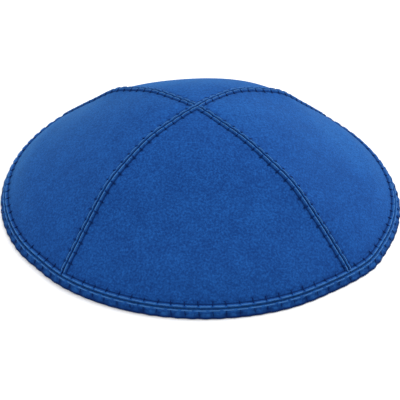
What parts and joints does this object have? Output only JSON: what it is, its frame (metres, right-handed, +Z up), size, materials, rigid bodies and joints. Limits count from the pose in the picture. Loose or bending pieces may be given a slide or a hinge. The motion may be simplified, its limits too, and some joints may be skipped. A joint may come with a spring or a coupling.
{
  "type": "suede skullcap",
  "caption": "Shallow domed suede skullcap: sewn panels meet in raised seams at the crown, and a folded, whip-stitched rim band closes the lower edge.",
  "frame": {"origin": "on the surface that the cap rests on, under the middle of the rim's outline", "axes": "+Z up through the crown, -Y towards the front panel, which the picture looks at, and +X towards the right-hand side of the picture"},
  "size_m": [0.1702, 0.1688, 0.0471],
  "materials": {
    "panel_suede": "royal blue suede with a short velvety nap",
    "rim_suede": "royal blue suede strip, folded and rubbed at its edge",
    "stitch_thread": "navy twisted thread with a slight gloss"
  },
  "bodies": {
    "root": {"panel_back": "panel_suede", "panel_left": "panel_suede", "panel_front": "panel_suede", "panel_right": "panel_suede", "rim_band": "rim_suede"}
  },
  "joints": []
}
